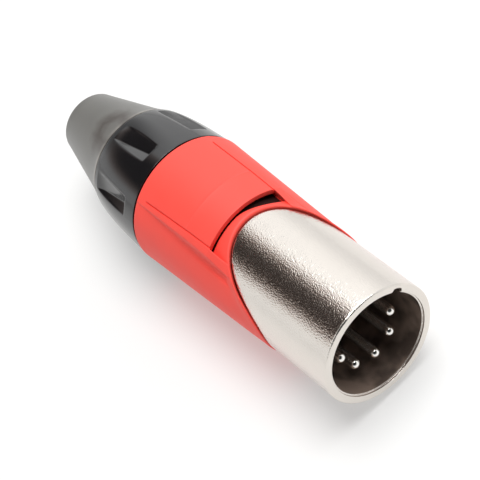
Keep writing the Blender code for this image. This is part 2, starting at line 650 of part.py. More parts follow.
def build_nut(axis, parts, cutters, finish):
    outer = nut_profile()
    outer = [outer[0] + Vector((-NUT_EDGE, 0.0)),
             outer[0] + Vector((0.0, NUT_EDGE))] + outer[1:]
    slope = (CHUCK_RADIUS - CHUCK_TIP_RADIUS) / CHUCK_CONE_LENGTH
    cone_start = NECK_REAR + CLEARANCE
    cone_end = CHUCK_REAR
    seat = BOOT_SPIGOT_RADIUS + CLEARANCE
    bead_front, bead_rear = boot_bead()
    inner = [
        (NECK_RADIUS + CLEARANCE, NUT_FRONT),
        (NECK_RADIUS + CLEARANCE, cone_start),
        (CHUCK_TIP_RADIUS + slope * (CHUCK_REAR - cone_start) + CLEARANCE, cone_start),
        (CHUCK_TIP_RADIUS + CLEARANCE, cone_end),
        (seat, SPIGOT_FRONT),
        (seat + BOOT_BEAD_HEIGHT, bead_front - CLEARANCE),
        (seat + BOOT_BEAD_HEIGHT, bead_rear + CLEARANCE),
        (seat, NUT_REAR),
    ]
    outline = [tuple(point) for point in outer[::-1]] + inner
    nut = turned("gland_nut", outline, OUTER_FACETS, axis, parts, finish)
    boolean(nut, dent_cutter(axis, cutters), "DIFFERENCE")
    return nut


def boot_bead():
    """Front and rear of the bead that holds the boot in the nut."""
    middle = (SPIGOT_FRONT + NUT_REAR) / 2.0
    return middle - BOOT_BEAD_LENGTH / 2.0, middle + BOOT_BEAD_LENGTH / 2.0


def build_boot(axis, parts, finish):
    shoulder_end = BOOT_FRONT + BOOT_SHOULDER_LENGTH
    slope = (BOOT_SHOULDER_RADIUS - BOOT_END_RADIUS) / (BOOT_REAR - shoulder_end)
    knee = BOOT_FRONT + 0.4 * BOOT_SHOULDER_LENGTH
    shoulder = curved((NUT_REAR_RADIUS - 0.2 * CLEARANCE, BOOT_FRONT),
                      (BOOT_SHOULDER_RADIUS + slope * (shoulder_end - knee), knee),
                      (BOOT_SHOULDER_RADIUS, shoulder_end), BOOT_SIDE_FACETS + 1)
    end = filleted([
        (BOOT_BORE_RADIUS, BOOT_REAR, 0.0),
        (BOOT_END_RADIUS, BOOT_REAR, BOOT_END_EDGE),
        (BOOT_SHOULDER_RADIUS, shoulder_end, 0.0),
    ])
    bead_front, bead_rear = boot_bead()
    outline = [tuple(point) for point in end[:-1]]
    outline += [tuple(point) for point in shoulder[::-1]]
    outline += [
        (BOOT_SPIGOT_RADIUS, BOOT_FRONT),
        (BOOT_SPIGOT_RADIUS + BOOT_BEAD_HEIGHT, bead_rear),
        (BOOT_SPIGOT_RADIUS + BOOT_BEAD_HEIGHT, bead_front),
        (BOOT_SPIGOT_RADIUS, SPIGOT_FRONT),
        (BOOT_BORE_RADIUS, SPIGOT_FRONT),
    ]
    return turned("cable_boot", outline, INNER_FACETS, axis, parts, finish)


def main():
    clear_scene()
    parts = new_collection("five_pin_cable_connector")
    cutters = new_collection("cutters")
    axis = bpy.data.objects.new("connector_axis", None)
    parts.objects.link(axis)
    axis.location = (0.0, -BOOT_REAR / 2.0, AXIS_HEIGHT)
    axis.rotation_euler = (-math.pi / 2.0, 0.0, 0.0)

    nickel = material("satin nickel", (0.62, 0.60, 0.57), 0.32, 1.0)
    red = material("red moulding", (0.80, 0.06, 0.04), 0.38, 0.0)
    black = material("black polyamide", (0.012, 0.012, 0.013), 0.22, 0.0)
    dark = material("insert polyamide", (0.02, 0.019, 0.018), 0.55, 0.0)
    rubber = material("grey rubber", (0.27, 0.265, 0.255), 0.75, 0.0)
    silver = material("silver plating", (0.78, 0.77, 0.74), 0.22, 1.0)
    bronze = material("tinned bronze", (0.60, 0.56, 0.50), 0.35, 1.0)
    acetal = material("natural acetal", (0.72, 0.71, 0.67), 0.45, 0.0)

    build_shell(axis, parts, cutters, nickel)
    build_sleeve(axis, parts, cutters, red)
    build_insert(axis, parts, cutters, dark)
    build_pins(axis, parts, cutters, silver)
    build_spring(axis, parts, bronze)
    build_chuck(axis, parts, cutters, acetal)
    build_nut(axis, parts, cutters, black)
    build_boot(axis, parts, rubber)
    bpy.context.view_layer.update()


main()
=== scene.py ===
"""Dresses the five-pin cable connector: smooth moulded and plated pieces over its CAD frame."""

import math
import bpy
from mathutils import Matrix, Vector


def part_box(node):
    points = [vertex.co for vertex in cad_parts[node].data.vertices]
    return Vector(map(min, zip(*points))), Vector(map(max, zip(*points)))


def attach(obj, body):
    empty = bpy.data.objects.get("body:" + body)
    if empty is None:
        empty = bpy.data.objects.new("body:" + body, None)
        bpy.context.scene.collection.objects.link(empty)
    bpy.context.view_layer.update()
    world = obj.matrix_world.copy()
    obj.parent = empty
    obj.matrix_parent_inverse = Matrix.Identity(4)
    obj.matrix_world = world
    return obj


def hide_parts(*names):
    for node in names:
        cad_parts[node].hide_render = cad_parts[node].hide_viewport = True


bl_info = {
    "name": "Five-Pin Cable Connector",
    "version": (1, 0, 0),
    "blender": (4, 5, 0),
    "location": "View3D > Sidebar > Connector",
    "description": "Builds the finished pieces of a five-pin cable connector and its studio",
    "category": "Add Mesh",
}

from types import SimpleNamespace

import bmesh
import bpy
from bpy.props import FloatProperty, FloatVectorProperty, IntProperty, PointerProperty
from mathutils import Matrix, Vector

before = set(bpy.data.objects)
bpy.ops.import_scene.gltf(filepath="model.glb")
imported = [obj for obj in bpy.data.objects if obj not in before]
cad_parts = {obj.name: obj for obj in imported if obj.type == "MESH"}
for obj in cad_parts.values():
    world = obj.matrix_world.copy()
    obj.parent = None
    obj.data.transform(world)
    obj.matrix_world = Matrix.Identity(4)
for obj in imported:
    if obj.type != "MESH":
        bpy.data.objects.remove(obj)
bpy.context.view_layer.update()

MM = 0.001
MERGE = 0.0000005                                # points nearer than this, in metres, are one
BOOT_LOW, BOOT_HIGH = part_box("cable_boot")
RIM_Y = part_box("front_shell")[0].y               # the rim of the socket
AXIS_Z = (BOOT_LOW.z + BOOT_HIGH.z) / 2.0        # height of the connector's axis


def behind_rim(box):
    """Front and rear of a CAD node's box, in mm behind the rim."""
    return [(corner.y - RIM_Y) / MM for corner in box]


NECK_REAR = behind_rim(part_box("front_shell"))[1]
SLEEVE_FRONT, SLEEVE_REAR = behind_rim(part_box("colour_sleeve"))
NUT_FRONT, NUT_REAR = behind_rim(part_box("gland_nut"))
BOOT_FRONT, BOOT_REAR = behind_rim(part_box("cable_boot"))

# The sleeve's edge climbs along a curve with two handles, in shares of its height and setback.
SCALLOP_FOOT = -0.5                              # height over the axis where the climb starts
SCALLOP_HEIGHTS = (0.40, 0.58)
SCALLOP_SETBACK = 0.66                           # of the second handle, as the first has none

# Patches of the light tent: direction, inner and outer angle in degrees, brightness inside.
# The dark ones draw the dark band on the barrel and the eyes of the pins.
TENT_PATCHES = (
    ((-0.385, 0.647, 0.66), 15.0, 32.0, 0.03),
    ((-0.19, -0.68, 0.71), 30.0, 58.0, 0.03),
    ((0.1, 0.95, 0.31), 8.0, 28.0, 0.35),
    ((0.375, 0.647, 0.663), 8.0, 40.0, 1.28))
TENT_BRIGHTNESS = 1.02


# Sizes and colours

def linear(code):
    """An sRGB hex colour as linear red, green and blue."""
    shares = [int(code[i:i + 2], 16) / 255.0 for i in (1, 3, 5)]
    return tuple(s / 12.92 if s <= 0.04045 else ((s + 0.055) / 1.055) ** 2.4 for s in shares)


def length(name, description, millimetres):
    return FloatProperty(name=name, description=description, default=millimetres * MM,
                         unit="LENGTH", precision=5)


def colour(name, description, code):
    return FloatVectorProperty(name=name, description=description, default=linear(code),
                               subtype="COLOR", min=0.0, max=1.0)


class BarrelSizes(bpy.types.PropertyGroup):
    radius: length("Radius", "Outside of the barrel", 9.5)
    edge: length("Edge", "Rounding of the rim outside", 0.3)
    bore: length("Bore", "Radius of the mating bore", 8.05)
    mouth: length("Mouth", "Radius of the step at the mouth of the bore", 8.28)
    mouth_depth: length("Mouth depth", "Depth of that step", 0.32)
    depth: length("Depth", "Rim to the lip behind the bore", 15.0)
    seat: length("Seat", "Radius under the colour sleeve", 8.8)
    neck: length("Neck", "Radius of the neck under the nut", 8.3)
    rear_bore: length("Rear bore", "Radius behind the lip", 7.9)
    lip: length("Lip", "Inner radius of the lip", 7.4)
    key_width: length("Key width", "Width of the keyway", 1.6)
    key_depth: length("Key depth", "Depth of the keyway into the wall", 0.8)
    key_length: length("Key length", "Length of the keyway", 13.3)
    key_angle: FloatProperty(name="Key angle", description="Angle of the keyway from the tongue",
                             default=math.radians(44.0), subtype="ANGLE")


class SleeveSizes(bpy.types.PropertyGroup):
    front_radius: length("Front radius", "Outside at the front edge", 9.7)
    rear_radius: length("Rear radius", "Outside at the rear", 10.8)
    bore: length("Bore", "Radius inside", 9.1)
    setback: length("Setback", "How far back the edge lies under the tongue", 10.45)
    lip_width: length("Lip width", "Width of the soft rim along the edge", 1.25)
    lip_height: length("Lip height", "How far that rim stands up", 0.03)
    tongue_tip: length("Tongue tip", "From the edge to the end of the tongue", 1.55)
    tip_radius: length("Tip radius", "Top of the tongue at its tip", 10.87)
    crest_radius: length("Crest radius", "Top of the tongue at the crease", 11.1)
    crest_place: length("Crest place", "From the tip to the crease", 5.4)
    ridge: length("Ridge", "Height of the fine ridge along the crease", 0.08)
    thickness: length("Thickness", "Thickness of the tongue at its tip", 0.85)
    tip_half: length("Tip half width", "Half the tongue's width at its tip", 6.2)
    root_half: length("Root half width", "Half its width at the root", 6.7)
    root: length("Root", "Length of the plain band behind the tongue", 2.2)
    slit: length("Slit", "Width of the slit beside the tongue", 0.16)
    slit_depth: length("Slit depth", "Depth of that slit behind the tip", 0.22)
    dip: length("Dip", "How far the side dips below the rails", 0.52)
    crease: length("Crease", "Depth of the narrow groove along their foot", 0.3)
    lean: length("Lean", "How far the wall above that groove leans in", 0.22)
    # The window's darkness is painted shade, from the near-black material laid under the tongue.
    window: length("Window", "How far the dark window reaches out at the pocket's corner", 2.0)
    cave: length("Cave", "How far the hollow under the tongue goes back", 9.0)
    sharp: length("Sharp", "Rounding of the tongue's edges", 0.06)
    rail_half: length("Rail half width", "Outer side of the rails", 7.45)
    cheek: length("Cheek", "Length over which the rails run down", 3.6)
    floor_radius: length("Floor radius", "Floor of the pocket", 9.25)


class NutSizes(bpy.types.PropertyGroup):
    front_radius: length("Front radius", "Outside at the front", 10.65)
    belly_radius: length("Belly radius", "Where the side turns in", 10.45)
    rear_radius: length("Rear radius", "Outside at the rear", 9.4)
    belly_place: length("Belly place", "From the rear to where the side turns in", 3.9)
    scoop_front: length("Scoop front", "From the front to the scoops", 2.75)
    scoop_rear: length("Scoop rear", "From the rear to the scoops", 1.0)
    scoop_half: length("Scoop half width", "Half the width of a scoop", 1.7)
    front_depth: length("Front depth", "Depth of a scoop at its front wall", 0.95)
    rear_depth: length("Rear depth", "Depth of its valley at the rear", 0.3)
    valley_front: FloatProperty(name="Valley front", description="Place of the valley across a scoop",
                                default=0.02, subtype="FACTOR")
    valley_rear: FloatProperty(name="Valley rear", description="Place where the valley runs out",
                               default=-0.9, subtype="FACTOR")
    scoops: IntProperty(name="Scoops", description="How many scoops go round", default=7)
    phase: FloatProperty(name="Phase", description="Angle of a scoop from the tongue",
                         default=math.radians(-5.3), subtype="ANGLE")


class BootSizes(bpy.types.PropertyGroup):
    shoulder_radius: length("Shoulder radius", "Where the cone starts", 8.2)
    shoulder_length: length("Shoulder length", "Length of the rounded shoulder", 3.3)
    end_radius: length("End radius", "Outside at the cable end", 5.25)
    end_edge: length("End edge", "Rounding of the end", 0.6)
    bore: length("Bore", "Radius of the cable passage", 4.0)


class ContactSizes(bpy.types.PropertyGroup):
    circle: length("Circle", "Radius of the circle of pins", 4.8)
    radius: length("Pin radius", "Radius of a pin", 0.8)
    recess: length("Recess", "From the rim to the pin tips", 2.3)
    seat_radius: length("Seat radius", "Thick part of a pin", 1.2)


class Finishes(bpy.types.PropertyGroup):
    nickel: colour("Nickel", "Satin nickel plating", "#E0DAD3")
    # Painted shade: the dark colour laid inside the barrel and its keyway for the shade in the bore.
    bore: colour("Bore", "Inside of the barrel, painted dark as shade", "#7A6A60")
    red: colour("Red", "Moulded colour sleeve", "#EC463A")
    # Painted shade: the near-black colour laid in the hollow under the tongue.
    painted_shade: colour("Painted shade", "Near-black painted shade in the hollow under the tongue", "#240A08")
    black: colour("Black", "Glossy gland nut", "#141416")
    rubber: colour("Rubber", "Boot", "#595854")
    pale_ring: colour("Pale ring", "Boot, paler near its front by the nut", "#A39C93")
    scuff: colour("Scuff", "Handling mark on the boot", "#2C2119")
    insert: colour("Insert", "Insulating insert", "#1E1A18")
    silver: colour("Silver", "Plated pins", "#F1EFEA")
    bronze: colour("Bronze", "Earth spring", "#C9BFAE")
    acetal: colour("Acetal", "Cable chuck", "#DEDBD3")
    table: colour("Table", "Lit studio table", "#B9B9B8")


class Connector(bpy.types.PropertyGroup):
    barrel: PointerProperty(type=BarrelSizes)
    sleeve: PointerProperty(type=SleeveSizes)
    nut: PointerProperty(type=NutSizes)
    boot: PointerProperty(type=BootSizes)
    contacts: PointerProperty(type=ContactSizes)
    finishes: PointerProperty(type=Finishes)


# Shapes

def in_mm(group):
    """A group's sizes by name, with its lengths in mm."""
    sizes = {}
    for key, kind in group.bl_rna.properties.items():
        if kind.type in ("FLOAT", "INT"):
            value = getattr(group, key)
            sizes[key] = value / MM if kind.unit == "LENGTH" else value
    return SimpleNamespace(**sizes)


def spot(along, radius, angle):
    """The point at so many mm behind the rim and from the axis, at an angle from the tongue."""
    return Vector((radius * MM * math.sin(angle), RIM_Y + along * MM,
                   AXIS_Z + radius * MM * math.cos(angle)))


def blend(first, second, share):
    return first + (second - first) * share


def smooth(low, high, value):
    """A soft step, from 0 at the low value to 1 at the high one."""
    share = min(max((value - low) / (high - low), 0.0), 1.0)
    return share * share * (3.0 - 2.0 * share)


def face_place(face):
    """Where a face's middle lies: mm behind the rim, mm from the axis, angle from the tongue."""
    middle = face.calc_center_median()
    x, z = middle.x, middle.z - AXIS_Z
    return (middle.y - RIM_Y) / MM, math.hypot(x, z) / MM, math.atan2(x, z)


def linked(name, data):
    """An object in the scene, for a mesh, a light or a camera."""
    made = bpy.data.objects.new(name, data)
    bpy.context.scene.collection.objects.link(made)
    return made


def meshed(name, shape):
    """An object whose mesh is the finished shape."""
    mesh = bpy.data.meshes.new(name)
    shape.to_mesh(mesh)
    shape.free()
    return linked(name, mesh)


def shown(name, shape, node, finishes, levels=0):
    """The finished piece: it rides on the connector and stands for its CAD node."""
    piece = meshed(name, shape)
    piece.data.shade_smooth()
    for finish in finishes:
        piece.data.materials.append(finish)
    if levels:
        rounder = piece.modifiers.new("Rounding", "SUBSURF")
        rounder.levels = levels
        rounder.render_levels = levels
    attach(piece, "root")
    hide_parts(node)
    return piece


def ring_skin(columns, sections):
    """A wall round the axis, from a grid that is bent round it and closed round its section."""
    rows = len(sections[0])
    shape = bmesh.new()
    bmesh.ops.create_grid(shape, x_segments=columns, y_segments=rows, size=0.5)
    for vert in shape.verts:
        column = round((vert.co.x + 0.5) * columns) % columns
        row = round((vert.co.y + 0.5) * rows) % rows
        vert.co = spot(*sections[column][row])
    bmesh.ops.remove_doubles(shape, verts=shape.verts, dist=MERGE)
    bmesh.ops.recalc_face_normals(shape, faces=shape.faces)
    return shape


def spun(outline, steps, centre=(0.0, 0.0)):
    """Turns an outline of (distance behind the rim, radius) round an axis along Y."""
    shape = bmesh.new()
    middle = Vector((centre[0] * MM, 0.0, AXIS_Z + centre[1] * MM))
    verts = [shape.verts.new(middle + Vector((0.0, RIM_Y + along * MM, radius * MM)))
             for along, radius in outline]
    edges = [shape.edges.new(pair) for pair in zip(verts, verts[1:])]
    bmesh.ops.spin(shape, geom=verts + edges, cent=middle, axis=(0.0, 1.0, 0.0),
                   angle=2.0 * math.pi, steps=steps, use_merge=True)
    bmesh.ops.remove_doubles(shape, verts=shape.verts, dist=MERGE)
    bmesh.ops.recalc_face_normals(shape, faces=shape.faces)
    return shape


def arc(along, radius, size, start, end, steps):
    """Points of a rounded corner, by its centre, its size and two angles in degrees."""
    made = []
    for step in range(steps + 1):
        turn = math.radians(blend(start, end, step / steps))
        made.append((along + size * math.cos(turn), radius + size * math.sin(turn)))
    return made


def parabola(first, middle, last, steps):
    """Points of a curve from the first point to the last, drawn towards the middle one."""
    made = []
    for step in range(steps + 1):
        share = step / steps
        a = [blend(first[i], middle[i], share) for i in (0, 1)]
        b = [blend(middle[i], last[i], share) for i in (0, 1)]
        made.append((blend(a[0], b[0], share), blend(a[1], b[1], share)))
    return made


def sleeve_edge(sizes, height):
    """Where the scalloped edge of the sleeve lies, for a height over the axis in mm."""
    wanted = (height - SCALLOP_FOOT) / (sizes.front_radius - SCALLOP_FOOT)
    if wanted <= 0.0:
        return SLEEVE_FRONT
    low, high = 0.0, 1.0
    for _ in range(40):
        s = (low + high) / 2.0
        first, second = 3 * (1 - s) ** 2 * s, 3 * (1 - s) * s * s
        if first * SCALLOP_HEIGHTS[0] + second * SCALLOP_HEIGHTS[1] + s ** 3 < wanted:
            low = s
        else:
            high = s
    return SLEEVE_FRONT + sizes.setback * (second * SCALLOP_SETBACK + s ** 3)


# Materials

def feed(node, inputs):
    """Gives a node's inputs their values or their links."""
    for key, value in inputs.items():
        if isinstance(value, bpy.types.NodeSocket):
            node.id_data.links.new(value, node.inputs[key])
        else:
            node.inputs[key].default_value = value


def add(tree, kind, place, inputs=None, **settings):
    """Adds a node with its settings, and with values or links for its inputs."""
    made = tree.nodes.new(kind)
    made.location = place
    for key, value in settings.items():
        setattr(made, key, value)
    feed(made, inputs or {})
    return made


def shaded(colour, share=1.0):
    """The colour times a share, as an opaque colour for a node."""
    return (*[min(part * share, 1.0) for part in colour], 1.0)


def blank(name):
    """A new material and its shader, with nothing but the output linked."""
    made = bpy.data.materials.new(name)
    made.use_nodes = True
    tree = made.node_tree
    return made, tree, tree.nodes["Principled BSDF"]


def grain(tree, millimetres, place, detail=2.0):
    """Noise on the piece's own coordinates with a grain of that size."""
    where = add(tree, "ShaderNodeTexCoord", (place[0] - 200, place[1]))
    return add(tree, "ShaderNodeTexNoise", place, {
        "Vector": where.outputs["Object"], "Scale": 1.0 / (millimetres * MM), "Detail": detail})


def satin_nickel(finishes):
    """Nickel plate on blasted zinc: a bright warm metal whose fine grain breaks its reflections."""
    # Real blasting is finer than this. It is drawn coarser, so that it shows in the picture.
    made, tree, shader = blank("Satin nickel plate")
    fine = grain(tree, 0.2, (-700, -250), detail=0.0)
    cloud = grain(tree, 3.0, (-700, 150))
    tint = add(tree, "ShaderNodeMix", (-450, 150), {
        0: cloud.outputs["Fac"], 6: shaded(finishes.nickel, 0.94), 7: shaded(finishes.nickel)},
        data_type="RGBA")
    rough = add(tree, "ShaderNodeMapRange", (-450, -50), {
        "Value": fine.outputs["Fac"], "To Min": 0.15, "To Max": 0.23})
    bump = add(tree, "ShaderNodeBump", (-250, -300), {
        "Height": fine.outputs["Fac"], "Strength": 1.0, "Distance": 0.034 * MM})
    feed(shader, {"Base Color": tint.outputs[2], "Roughness": rough.outputs["Result"],
                  "Normal": bump.outputs["Normal"], "Metallic": 1.0})
    return made


def painted_bore_shade(finishes):
    """Inside of the barrel and the keyway: a brown-black painted shade for the deep bore, on a
    blasted grain, that still catches some light.
    """
    made, tree, shader = blank("Zinc painted dark as bore shade")
    fine = grain(tree, 0.25, (-700, -250))
    bump = add(tree, "ShaderNodeBump", (-250, -300), {
        "Height": fine.outputs["Fac"], "Strength": 0.6, "Distance": 0.03 * MM})
    rough = add(tree, "ShaderNodeMapRange", (-450, -50), {
        "Value": fine.outputs["Fac"], "To Min": 0.38, "To Max": 0.5})
    cloud = grain(tree, 4.0, (-900, 150))
    patches = add(tree, "ShaderNodeMapRange", (-700, 150), {
        "Value": cloud.outputs["Fac"], "From Min": 0.4, "From Max": 0.62})
    tint = add(tree, "ShaderNodeMix", (-450, 150), {
        0: patches.outputs["Result"], 6: shaded(finishes.bore, 0.6),
        7: shaded(finishes.bore, 1.75)}, data_type="RGBA")
    feed(shader, {"Base Color": tint.outputs[2], "Roughness": rough.outputs["Result"],
                  "Normal": bump.outputs["Normal"], "Metallic": 0.5})
    return made


def moulded(name, colour, rough, texture, height, ior=1.5, spread=0.06, shine=0.5):
    """A moulded plastic or rubber: its colour drifts a little and its skin has a fine texture."""
    made, tree, shader = blank(name)
    cloud = grain(tree, 4.0, (-700, 150))
    tint = add(tree, "ShaderNodeMix", (-450, 150), {
        0: cloud.outputs["Fac"], 6: shaded(colour, 1.0 - spread),
        7: shaded(colour, 1.0 + spread)}, data_type="RGBA")
    fine = grain(tree, texture, (-700, -250))
    bump = add(tree, "ShaderNodeBump", (-250, -300), {
        "Height": fine.outputs["Fac"], "Strength": 0.3, "Distance": height * MM})
    wear = add(tree, "ShaderNodeMapRange", (-450, -50), {
        "Value": cloud.outputs["Fac"], "To Min": rough * 0.9, "To Max": rough * 1.1})
    feed(shader, {"Base Color": tint.outputs[2], "Roughness": wear.outputs["Result"],
                  "Normal": bump.outputs["Normal"], "IOR": ior, "Specular IOR Level": shine})
    return made


def tinned_bronze(finishes):
    """Tin on bronze strip: a soft grey metal with fine marks across it that dull its shine."""
    made, tree, shader = blank("Tinned bronze strip")
    pitch = 0.25 * MM
    where = add(tree, "ShaderNodeTexCoord", (-1100, -250))
    along = add(tree, "ShaderNodeMapping", (-900, -250), {
        "Vector": where.outputs["Object"], "Scale": (0.02 / pitch, 1.0 / pitch, 0.02 / pitch)})
    fine = add(tree, "ShaderNodeTexNoise", (-700, -250), {
        "Vector": along.outputs["Vector"], "Scale": 1.0, "Detail": 1.0})
    bump = add(tree, "ShaderNodeBump", (-250, -300), {
        "Height": fine.outputs["Fac"], "Strength": 1.0, "Distance": 0.01 * MM})
    wear = add(tree, "ShaderNodeMapRange", (-450, -50), {
        "Value": fine.outputs["Fac"], "To Min": 0.256, "To Max": 0.384})
    feed(shader, {"Base Color": shaded(finishes.bronze), "Roughness": wear.outputs["Result"],
                  "Normal": bump.outputs["Normal"], "Metallic": 1.0})
    return made


def scuffed_rubber(finishes, front):
    """Boot rubber: matt and finely textured, paler in a ring at its front by the nut, with a brown
    mark.
    """
    made = moulded("Grey thermoplastic rubber", finishes.rubber, 0.46, 0.22, 0.008, spread=0.12)
    tree = made.node_tree
    shader = tree.nodes["Principled BSDF"]
    plain = shader.inputs["Base Color"].links[0].from_socket
    where = add(tree, "ShaderNodeTexCoord", (-1300, 500))
    split = add(tree, "ShaderNodeSeparateXYZ", (-1100, 300), {0: where.outputs["Object"]})
    # The boot turns paler over the last mm before its front, next to the nut.
    pale_ring = add(tree, "ShaderNodeMapRange", (-900, 300), {
        "Value": split.outputs["Y"], "From Min": RIM_Y + (front + 1.1) * MM,
        "From Max": RIM_Y + (front + 0.3) * MM, "To Max": 0.4})
    paler = add(tree, "ShaderNodeMix", (-250, 300), {
        0: pale_ring.outputs["Result"], 6: plain, 7: shaded(finishes.pale_ring)}, data_type="RGBA")
    # The mark is a ragged dark ring of about 2.5 mm round a browner middle.
    away = add(tree, "ShaderNodeVectorMath", (-1100, 600), {
        0: where.outputs["Object"], 1: spot(front + 1.7, 8.3, math.radians(-8.0))},
        operation="DISTANCE")
    swirl = grain(tree, 1.8, (-1100, 850))
    ragged = add(tree, "ShaderNodeMath", (-900, 700), {
        0: swirl.outputs["Fac"], 1: 2.6 * MM, 2: away.outputs["Value"]}, operation="MULTIPLY_ADD")
    inner = add(tree, "ShaderNodeMapRange", (-700, 850), {
        "Value": ragged.outputs["Value"], "From Min": 2.6 * MM, "From Max": 4.0 * MM,
        "To Min": 0.25, "To Max": 0.85})
    outer = add(tree, "ShaderNodeMapRange", (-700, 550), {
        "Value": ragged.outputs["Value"], "From Min": 6.4 * MM, "From Max": 4.0 * MM})
    share = add(tree, "ShaderNodeMath", (-450, 700), {
        0: inner.outputs["Result"], 1: outer.outputs["Result"]}, operation="MULTIPLY")
    mark = add(tree, "ShaderNodeMix", (-100, 400), {
        0: share.outputs["Value"], 6: paler.outputs[2], 7: shaded(finishes.scuff)},
        data_type="RGBA")
    feed(shader, {"Base Color": mark.outputs[2], "Sheen Weight": 0.25})
    return made


def turned_pin(finishes, shaft):
    """Silver plate on turned brass: a polished tip, and fine turning marks round the shaft."""
    made, tree, shader = blank("Silver-plated turned brass")
    where = add(tree, "ShaderNodeTexCoord", (-1300, -250))
    along = add(tree, "ShaderNodeMapping", (-1100, -250), {
        "Vector": where.outputs["Object"], "Scale": (200.0, 1.0 / (0.1 * MM), 200.0)})
    rings = add(tree, "ShaderNodeTexNoise", (-900, -250), {
        "Vector": along.outputs["Vector"], "Scale": 1.0, "Detail": 1.0})
    split = add(tree, "ShaderNodeSeparateXYZ", (-900, 100), {0: where.outputs["Object"]})
    behind = add(tree, "ShaderNodeMapRange", (-700, 100), {
        "Value": split.outputs["Y"], "From Min": RIM_Y + shaft * MM,
        "From Max": RIM_Y + (shaft + 0.4) * MM})
    rough = add(tree, "ShaderNodeMapRange", (-450, 0), {
        "Value": behind.outputs["Result"], "To Min": 0.1, "To Max": 0.24})
    marks = add(tree, "ShaderNodeMath", (-450, -250), {
        0: rings.outputs["Fac"], 1: behind.outputs["Result"]}, operation="MULTIPLY")
    bump = add(tree, "ShaderNodeBump", (-250, -250), {
        "Height": marks.outputs["Value"], "Strength": 1.0, "Distance": 0.06 * MM})
    feed(shader, {"Base Color": shaded(finishes.silver), "Roughness": rough.outputs["Result"],
                  "Normal": bump.outputs["Normal"], "Metallic": 1.0})
    return made


# Pieces

class CONNECTOR_OT_barrel(bpy.types.Operator):
    """Build the keyed metal barrel with its seat under the sleeve"""
    bl_idname = "connector.barrel"
    bl_label = "Barrel"

    def execute(self, context):
        sizes = in_mm(context.scene.connector.barrel)
        sleeve = in_mm(context.scene.connector.sleeve)
        r, bore, edge, depth = sizes.radius, sizes.bore, sizes.edge, sizes.depth
        ledge, key_end = sizes.mouth_depth, sizes.key_length
        seat, neck, rear, lip = sizes.seat, sizes.neck, sizes.rear_bore, sizes.lip
        key, half = sizes.key_angle, math.asin(sizes.key_width / 2.0 / bore)
        # Seven columns, in radians, shape the keyway, and the others share the rest of the round.
        beside, corner, steps = 0.03, 0.008, 84
        marks = [key - half - beside, key - half, key - half + corner, key, key + half - corner,
                 key + half, key + half + beside]
        rest = 2.0 * math.pi - (marks[-1] - marks[0])
        angles = marks + [marks[-1] + rest * i / steps for i in range(1, steps)]
        overlap, lip_rear = 0.07, depth + 1.5
        # Points that lie close together keep an edge crisp when the surface is subdivided.
        sections = []
        for index, angle in enumerate(angles):
            inside = bore + sizes.key_depth if 2 <= index <= 4 else bore
            mouth = max(sizes.mouth, inside + 0.06)
            step = sleeve_edge(sleeve, r * math.cos(angle)) - overlap
            outline = [
                (depth, bore), (depth - 0.1, bore), (key_end + 0.05, bore), (key_end, inside),
                (key_end - 0.1, inside), (key_end * 0.6, inside), (1.2, inside),
                (ledge + 0.1, inside), (ledge + 0.02, inside + 0.01), (ledge, inside + 0.05),
                (ledge, mouth - 0.03), (ledge - 0.03, mouth), (0.06, mouth), (0.01, mouth + 0.01),
                (0.0, mouth + 0.06), (0.0, r - edge - 0.12), (0.0, r - edge)]
            outline += arc(edge, r - edge, edge, 180.0, 90.0, 4)[1:]
            outline += [(edge + 0.15, r), (3.0, r), (6.0, r), (9.0, r), (12.0, r),
                        (max(step - 1.0, 12.6), r), (step - 0.06, r), (step, r - 0.02),
                        (step + 0.02, r - 0.1), (step + 0.03, seat + 0.05), (step + 0.1, seat),
                        (26.0, seat), (SLEEVE_REAR - 0.1, seat), (SLEEVE_REAR, seat),
                        (SLEEVE_REAR, neck), (SLEEVE_REAR + 0.1, neck), (NECK_REAR - 0.3, neck),
                        (NECK_REAR, neck - 0.15), (NECK_REAR, rear + 0.05), (NECK_REAR, rear),
                        (NECK_REAR - 0.1, rear), (30.0, rear), (lip_rear + 0.1, rear),
                        (lip_rear, rear), (lip_rear, rear - 0.1), (lip_rear, lip),
                        (lip_rear - 0.1, lip), (depth + 0.1, lip), (depth, lip), (depth, lip + 0.1),
                        (depth, bore - 0.1)]
            sections.append([(along, radius, angle) for along, radius in outline])
        shape = ring_skin(len(angles), sections)
        # What looks inwards gets the painted shade, and so does the keyway. The step at the mouth
        # stays bright.
        deep = bore + sizes.key_depth + 0.1
        for face in shape.faces:
            along, out, turn = face_place(face)
            inwards = abs(face.normal.y) < 0.5 or abs(turn - key) < half + 0.02
            if inwards and 0.04 < along < depth + 0.2 and out < deep:
                face.material_index = 1
        finishes = context.scene.connector.finishes
        shown("barrel", shape, "front_shell",
              (satin_nickel(finishes), painted_bore_shade(finishes)), levels=1)
        return {"FINISHED"}


